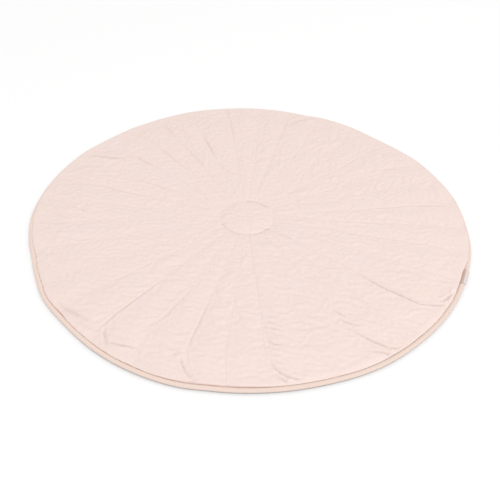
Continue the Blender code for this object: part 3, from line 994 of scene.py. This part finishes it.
def cotton(name, colour, shade_colour, coordinates_output, size, pitch, crinkle):
    """A matt cotton cloth with its weave, its thread's slubs and its small crinkles.

    The second colour is the painted shade that it turns to in its creases and where it turns under, size
    stretches the coordinates into metres, pitch is the thread spacing, and crinkle the crinkles' height.
    """
    nature = {"Roughness": 0.92, "Specular IOR Level": 0.25, "Sheen Weight": 0.12, "Sheen Roughness": 0.5}
    material, tree, shader = new_material(name, nature)
    source = add_node(tree, "ShaderNodeTexCoord").outputs[coordinates_output]
    place = add_node(tree, "ShaderNodeMapping", {"Scale": size}, {"Vector": source}).outputs[0]
    # Cotton takes the dye a little unevenly over patches of about 8 cm: yellower here, pinker there
    warmth = stretched(tree, noise(tree, place, 12.0, 4.0, 0.72), 0.3, 0.7)
    yellower, pinker = np.multiply(colour, (0.996, 0.996, 0.972)), np.multiply(colour, (1.004, 1.004, 1.028))
    # Slubs about 4 mm long are up to 3% paler or darker than the thread round them
    grain = stretched(tree, noise(tree, place, 260.0, 4.0, 0.6), 0.25, 0.75, 0.97, 1.03)
    # The attribute holds painted shade: on the pad how deep the cloth lies in its creases, on the piping the
    # shade painted on its underside and on its side towards the softbox; up to 0.1 it darkens nothing
    painted_shade = add_node(tree, "ShaderNodeAttribute", {"attribute_name": "painted_shade"})
    depth = stretched(tree, painted_shade.outputs["Fac"], 0.1, 1.1)
    dyed_and_shaded = mixed(tree, depth, mixed(tree, warmth, yellower, pinker), shade_colour)
    tinted = add_node(tree, "ShaderNodeVectorMath", {"operation": "SCALE"}, {"Scale": grain})
    tree.links.new(dyed_and_shaded, tinted.inputs[0])
    tree.links.new(tinted.outputs[0], shader.inputs["Base Color"])
    # Crinkles about 9 mm across lie under the weave
    soft = bumped(tree, noise(tree, place, 110.0, 3.0), 1.0, crinkle)
    fine = bumped(tree, plain_weave(tree, place, pitch), 0.35, 0.00008, {"Normal": soft})
    tree.links.new(fine, shader.inputs["Normal"])
    return material


def thread(colour):
    """Spun polyester sewing thread: smoother than the cloth, so it catches a little more light."""
    nature = {"Base Color": (*colour, 1.0), "Roughness": 0.6}
    material, tree, shader = new_material("spun polyester thread", nature)
    source = add_node(tree, "ShaderNodeTexCoord").outputs["Object"]
    # Its twist shows as a grain of about 0.7 mm
    twist = noise(tree, source, 1400.0, 1.0)
    tree.links.new(bumped(tree, twist, 0.4, 0.0001), shader.inputs["Normal"])
    return material


def satin_tape(settings):
    """Woven polyester label tape: fine ribs across it, rose next to the pad and pale on its outer half."""
    material, tree, shader = new_material("woven polyester tape", {"Roughness": 0.7, "Sheen Weight": 0.2})
    source = add_node(tree, "ShaderNodeTexCoord").outputs["UV"]
    across = add_node(tree, "ShaderNodeSeparateXYZ", links={"Vector": source}).outputs["Y"]
    stripes = add_node(tree, "ShaderNodeValToRGB", links={"Fac": across})
    ramp = stripes.color_ramp
    ramp.elements[0].color = (*settings.rose, 1.0)
    ramp.elements[1].color = (*settings.fold, 1.0)
    # Past the pale half the tape is painted the greyer fold colour, as painted shade on its free end and
    # under it
    stops = ((0.23, settings.rose), (0.245, settings.pale), (0.375, settings.pale), (0.39, settings.fold))
    for position, dye in stops:
        ramp.elements.new(position).color = (*dye, 1.0)
    tree.links.new(stripes.outputs["Color"], shader.inputs["Base Color"])
    place = add_node(tree, "ShaderNodeMapping", {"Scale": TAPE_GRAIN}, {"Vector": source}).outputs[0]
    ribs = ridges(tree, place, "X", TAPE_RIB_PITCH, 0.4, 2.0)
    tree.links.new(bumped(tree, ribs, 0.4, 0.0001), shader.inputs["Normal"])
    return material


class PLAYMAT_OT_quilted_pad(bpy.types.Operator):
    """Make the quilted pad, with its gores, seams, creases and underside"""

    bl_idname = "playmat.quilted_pad"
    bl_label = "Quilted pad"

    def execute(self, context):
        settings = context.scene.playmat_pad
        face = face_rings(settings)
        edge = edge_rings(settings, face[-1][:, 2])
        under = underside_rings(settings)
        mesh = bmesh.new()
        # How deep each point lies in a crease goes to the material as painted shade
        painted_shade = mesh.verts.layers.float.new("painted_shade")
        rings = []
        for ring in [face[0].mean(axis=0, keepdims=True)] + face + edge + under:
            rings.append([mesh.verts.new(point[:3]) for point in ring])
            for vertex, point in zip(rings[-1], ring):
                vertex[painted_shade] = point[3] / SUNK_DEPTH
        (top,) = rings.pop(0)
        for column, vertex in enumerate(rings[0]):
            mesh.faces.new((top, vertex, rings[0][(column + 1) % len(rings[0])]))
        for first, second in zip(rings, rings[1:]):
            if len(first) > len(second):
                join_rings(mesh, second, first)
            else:
                join_rings(mesh, first, second)
        mesh.faces.new(rings[-1])
        pad = link_mesh("padded_face", mesh)
        colours = (settings.cotton, settings.folds)
        material = cotton("cotton percale", *colours, "Object", (1.0, 1.0, 1.0), 0.0006, 0.0004)
        hand_over(pad, material, "blush_cotton", "quilted_pad")
        return {"FINISHED"}


class PLAYMAT_OT_stitching(bpy.types.Operator):
    """Sew the thread of the radial seams and of the centre circle, a stitch at a time"""

    bl_idname = "playmat.stitching"
    bl_label = "Seam stitching"

    def execute(self, context):
        settings = context.scene.playmat_stitching
        pad = bpy.data.objects["padded_face"]
        graph = context.evaluated_depsgraph_get()
        cloth = BVHTree.FromObject(pad, graph)
        bpy.ops.object.select_all(action="DESELECT")
        bpy.ops.mesh.primitive_uv_sphere_add(segments=6, ring_count=4, radius=0.5)
        sample = context.object
        sample.scale = (settings.length, settings.thickness, settings.thickness)
        bpy.ops.object.transform_apply(location=False, rotation=False, scale=True)
        corners = np.array([vertex.co[:] for vertex in sample.data.vertices])
        faces = [tuple(polygon.vertices) for polygon in sample.data.polygons]
        bpy.data.objects.remove(sample)
        points, joined = [], []
        for middle, direction in self.stitches(settings):
            ends = [middle - 0.5 * settings.length * direction, middle + 0.5 * settings.length * direction]
            # A ray straight down on a seam could slip between its two faces, so each is aimed beside it
            beside = 0.00005 * np.array([-direction[1], direction[0]])
            down = Vector((0.0, 0.0, -1.0))
            hits = [cloth.ray_cast(Vector((*(end + beside), 0.1)), down)[0] for end in ends]
            run = (hits[1] - hits[0]).normalized()
            side = Vector((0.0, 0.0, 1.0)).cross(run).normalized()
            turn = np.array(Matrix((run, side, run.cross(side))))
            centre = np.array((hits[0] + hits[1]) / 2) + (0.0, 0.0, 0.2 * settings.thickness)
            start = len(corners) * len(points)
            points.append(corners @ turn + centre)
            joined += [tuple(start + corner for corner in face) for face in faces]
        data = bpy.data.meshes.new("seam_stitching")
        data.from_pydata(np.concatenate(points).tolist(), [], joined)
        data.shade_smooth()
        stitching = bpy.data.objects.new("seam_stitching", data)
        context.scene.collection.objects.link(stitching)
        hand_over(stitching, thread(settings.thread), "blush_cotton")
        return {"FINISHED"}

    def stitches(self, settings):
        """The middle and the direction of each stitch in plan, along every seam and round the circle."""
        for number in range(len(SEAMS)):
            radius = CENTRE_SEAM_RADIUS + settings.pitch
            end = outline_radius(seam_angle(number, MAT_RADIUS)) - EDGE_START + 0.006
            while radius < end:
                here = plan(seam_angle(number, radius), radius)
                ahead = plan(seam_angle(number, radius + 0.001), radius + 0.001)
                yield here, (ahead - here) / np.linalg.norm(ahead - here)
                radius += settings.pitch
        count = round(2.0 * math.pi * CENTRE_SEAM_RADIUS / settings.pitch)
        for number in range(count):
            angle = 360.0 * number / count
            yield plan(angle, CENTRE_SEAM_RADIUS), plan(angle + 90.0, 1.0)


class PLAYMAT_OT_piping(bpy.types.Operator):
    """Make the fabric-covered cord that is sewn into the edge all the way round"""

    bl_idname = "playmat.piping"
    bl_label = "Piping"

    # The most segments that Blender's torus takes round the ring. They lie 12 mm apart, so the puckers, which
    # are finer, show only in part
    SEGMENTS = 256
    # The puckers' grain along the cord, in metres, and how far round it one reaches, in degrees
    PUCKER_LENGTH = 0.006
    PUCKER_REACH = 80.0
    # The side that the softbox lights, in degrees, and how much painted shade dulls the cover there
    LAMP_SIDE = 310.0
    LAMP_SIDE_PAINTED_SHADE = 0.12
    # Turns round the cord, in degrees from straight out: where the painted shade on the cover starts, over
    # how far it comes to its darkest, and how far round it is painted dark at all
    SHADE_START = 17.0
    SHADE_FADE = 46.0
    SHADE_END = 100.0

    def execute(self, context):
        settings = context.scene.playmat_piping
        bpy.ops.object.select_all(action="DESELECT")
        bpy.ops.mesh.primitive_torus_add(
            major_segments=self.SEGMENTS,
            minor_segments=20,
            major_radius=MAT_RADIUS - settings.radius,
            minor_radius=settings.radius,
            location=(0.0, 0.0, PIPING_CENTRE_HEIGHT),
        )
        ring = context.object
        ring.name = ring.data.name = "edge_piping"
        bpy.ops.object.transform_apply(location=True, rotation=True, scale=True)
        points = np.array([vertex.co[:] for vertex in ring.data.vertices])
        angle = np.degrees(np.arctan2(points[:, 1], points[:, 0])) % 360.0
        radius = np.hypot(points[:, 0], points[:, 1])
        middle = MAT_RADIUS - settings.radius
        out = radius - middle
        up = points[:, 2] - PIPING_CENTRE_HEIGHT
        around = np.degrees(np.arctan2(up, out))
        # Puckers slant round the cord, as they do in a strip cut on the bias
        along = angle * math.radians(1.0) * middle / self.PUCKER_LENGTH
        slant = np.column_stack([along + around / 60.0, around / self.PUCKER_REACH])
        swell = settings.pucker * wave(slant, 1.0, 16)
        swell += settings.pucker * wave(plan(angle, middle), 0.07, 17)
        free = np.clip((np.cos(np.radians(around - 35.0)) + 0.5) / 1.5, 0.0, 1.0)
        grow = 1.0 + swell * free / settings.radius
        centre = outline_radius(angle) - settings.radius
        flat = plan(angle, centre + out * grow)
        height = np.maximum(PIPING_CENTRE_HEIGHT + up * grow, 0.0)
        ring.data.vertices.foreach_set("co", np.column_stack([flat, height]).astype(np.float32).ravel())
        ring.data.update()
        # Painted shade where it turns under, which the material reads, and a little painted shade towards the
        # softbox, so that it is as even all round as it is in the pale room of the photo
        under = smooth((self.SHADE_START - around) / self.SHADE_FADE) + 0.10 * smooth((75.0 - around) / 80.0)
        under = under * (np.abs(around) < self.SHADE_END)
        lamp_side = self.LAMP_SIDE_PAINTED_SHADE * np.maximum(np.cos(np.radians(angle - self.LAMP_SIDE)), 0.0)
        dark = 0.1 + lamp_side + round_edge(angle, "shade") * under
        painted_shade = ring.data.attributes.new("painted_shade", "FLOAT", "POINT")
        painted_shade.data.foreach_set("value", dark.astype(np.float32))
        ring.data.shade_smooth()
        length = 2.0 * math.pi * middle
        size = (length, 2.0 * math.pi * settings.radius, 1.0)
        colours = (settings.cotton, settings.shade)
        material = cotton("bias-cut cotton", *colours, "UV", size, 0.0007, 0.00025)
        hand_over(ring, material, "peach_cotton", "piping")
        return {"FINISHED"}


class PLAYMAT_OT_side_label(bpy.types.Operator):
    """Make the folded tape caught in the edge seam, with nothing on it"""

    bl_idname = "playmat.side_label"
    bl_label = "Side label"

    ANGLE = 338.9
    WRAP_START = 155.0
    WRAP_END = 42.0
    CLEARANCE = 0.0004
    THICKNESS = 0.0010

    def path(self, settings):
        """The tape's middle line in section, as distances in from the outline and heights: out over the
        piping, round the fold at its free end, and back under itself."""
        lower = PIPING_RADIUS + self.CLEARANCE + 0.5 * settings.tape
        upper = PIPING_RADIUS + self.CLEARANCE + self.THICKNESS - 0.5 * settings.tape
        turns = np.radians(np.linspace(self.WRAP_START, self.WRAP_END, 15))
        end = turns[-1]
        tangent = np.array([-math.sin(end), -math.cos(end)])

        def arc(reach):
            return np.column_stack(
                [PIPING_RADIUS - reach * np.cos(turns), PIPING_CENTRE_HEIGHT + reach * np.sin(turns)]
            )

        over, under = arc(upper), arc(lower)
        half_gap = 0.5 * (upper - lower)
        straight = tangent * (settings.free_end - half_gap)
        tip_over, tip_under = over[-1] + straight, under[-1] + straight
        middle, half = (tip_over + tip_under) / 2, (tip_over - tip_under) / 2
        fold = [
            middle + half * math.cos(turn) + tangent * half_gap * math.sin(turn)
            for turn in np.linspace(0.0, math.pi, 7)
        ]
        return np.vstack([over, fold, under[::-1]])

    def execute(self, context):
        settings = context.scene.playmat_label
        path = self.path(settings)
        bpy.ops.object.select_all(action="DESELECT")
        bpy.ops.mesh.primitive_grid_add(x_subdivisions=28, y_subdivisions=len(path) - 1, size=1.0)
        tape = context.object
        tape.name = tape.data.name = "folded_label"
        spread = math.degrees(settings.length / MAT_RADIUS)
        for vertex in tape.data.vertices:
            row = path[round((vertex.co.y + 0.5) * (len(path) - 1))]
            angle = self.ANGLE + spread * vertex.co.x
            outline = float(outline_radius(angle))
            # The cut ends curl up off the piping a little
            curl = 0.0002 * abs(2.0 * vertex.co.x) ** 4
            x, y = plan(angle, outline - row[0])
            vertex.co = (x, y, row[1] + curl)
        bpy.ops.object.modifier_add(type="SOLIDIFY")
        solid = tape.modifiers[-1]
        solid.thickness = settings.tape
        solid.offset = 0.0
        bpy.ops.object.modifier_apply(modifier=solid.name)
        tape.data.shade_smooth()
        tape.data.set_sharp_from_angle(angle=math.radians(50.0))
        hand_over(tape, satin_tape(settings), "rose_tape", "side_label")
        return {"FINISHED"}


class PLAYMAT_OT_stage(bpy.types.Operator):
    """Set the pale floor, the soft light from all round and the camera"""

    bl_idname = "playmat.stage"
    bl_label = "Stage"

    # The camera as the photograph was taken: where it stood, how it was turned and its lens
    PLACE = (0.0, -1.32025, 1.07566)
    RIGHT = (0.999703, 0.013931, 0.019977)
    UP = (-0.024199, 0.660636, 0.750316)
    LENS = 52.95
    SOFTBOX = (2.55, -4.2, 4.7)
    # The floor lies this little below the mat's underside, so that the two don't share a plane
    FLOOR_GAP = 0.0002

    def execute(self, context):
        settings = context.scene.playmat_stage
        bpy.ops.object.select_all(action="DESELECT")
        bpy.ops.mesh.primitive_plane_add(size=settings.floor_size, location=(0.0, 0.0, -self.FLOOR_GAP))
        floor = context.object
        floor.name = floor.data.name = "studio_floor"
        bpy.ops.object.transform_apply(location=True, rotation=True, scale=True)
        # Matt, and with a light of its own, it is as near to white as the photo's background
        paint = {
            "Base Color": (*settings.floor, 1.0),
            "Roughness": 0.95,
            "Specular IOR Level": 0.1,
            "Emission Color": (1.0, 1.0, 1.0, 1.0),
            "Emission Strength": settings.glow,
        }
        floor.data.materials.append(new_material("matt white paint", paint)[0])
        world = bpy.data.worlds.new("light from all round")
        world.use_nodes = True
        sky = world.node_tree.nodes["Background"]
        sky.inputs["Color"].default_value = (1.0, 0.998, 0.996, 1.0)
        sky.inputs["Strength"].default_value = settings.dome
        context.scene.world = world
        # The large softbox stands behind the camera and to its right, so its light is soft and nearly even
        bpy.ops.object.light_add(type="AREA", location=self.SOFTBOX)
        softbox = context.object
        softbox.name = "softbox"
        softbox.data.shape = "SQUARE"
        softbox.data.size = 3.2
        softbox.data.energy = settings.softbox
        softbox.rotation_euler = Vector(self.SOFTBOX).to_track_quat("Z", "Y").to_euler()
        bpy.ops.object.camera_add(location=self.PLACE)
        camera = context.object
        right, up = Vector(self.RIGHT), Vector(self.UP)
        camera.rotation_euler = Matrix((right, up, right.cross(up))).transposed().to_euler()
        camera.data.lens = self.LENS
        camera.data.sensor_width = 36.0
        context.scene.camera = camera
        context.scene.view_settings.view_transform = "Standard"
        return {"FINISHED"}


class PLAYMAT_PT_panel(bpy.types.Panel):
    """The play mat's pieces and their settings"""

    bl_idname = "PLAYMAT_PT_panel"
    bl_label = "Play mat"
    bl_space_type = "VIEW_3D"
    bl_region_type = "UI"
    bl_category = "Play mat"

    def draw(self, context):
        for operator, group in PIECES:
            box = self.layout.box()
            box.operator(operator.bl_idname)
            settings = getattr(context.scene, group)
            for name in settings.__annotations__:
                box.prop(settings, name)


PIECES = (
    (PLAYMAT_OT_quilted_pad, "playmat_pad"),
    (PLAYMAT_OT_stitching, "playmat_stitching"),
    (PLAYMAT_OT_piping, "playmat_piping"),
    (PLAYMAT_OT_side_label, "playmat_label"),
    (PLAYMAT_OT_stage, "playmat_stage"),
)
GROUPS = {
    "playmat_pad": PadSettings,
    "playmat_stitching": StitchSettings,
    "playmat_piping": PipingSettings,
    "playmat_label": LabelSettings,
    "playmat_stage": StageSettings,
}


def register():
    for name, group in GROUPS.items():
        bpy.utils.register_class(group)
        setattr(bpy.types.Scene, name, PointerProperty(type=group))
    for operator, _ in PIECES:
        bpy.utils.register_class(operator)
    bpy.utils.register_class(PLAYMAT_PT_panel)


def unregister():
    bpy.utils.unregister_class(PLAYMAT_PT_panel)
    for operator, _ in reversed(PIECES):
        bpy.utils.unregister_class(operator)
    for name, group in GROUPS.items():
        delattr(bpy.types.Scene, name)
        bpy.utils.unregister_class(group)


def main():
    register()
    bpy.ops.playmat.quilted_pad()
    bpy.ops.playmat.stitching()
    bpy.ops.playmat.piping()
    bpy.ops.playmat.side_label()
    bpy.ops.playmat.stage()


if __name__ == "__main__":
    main()
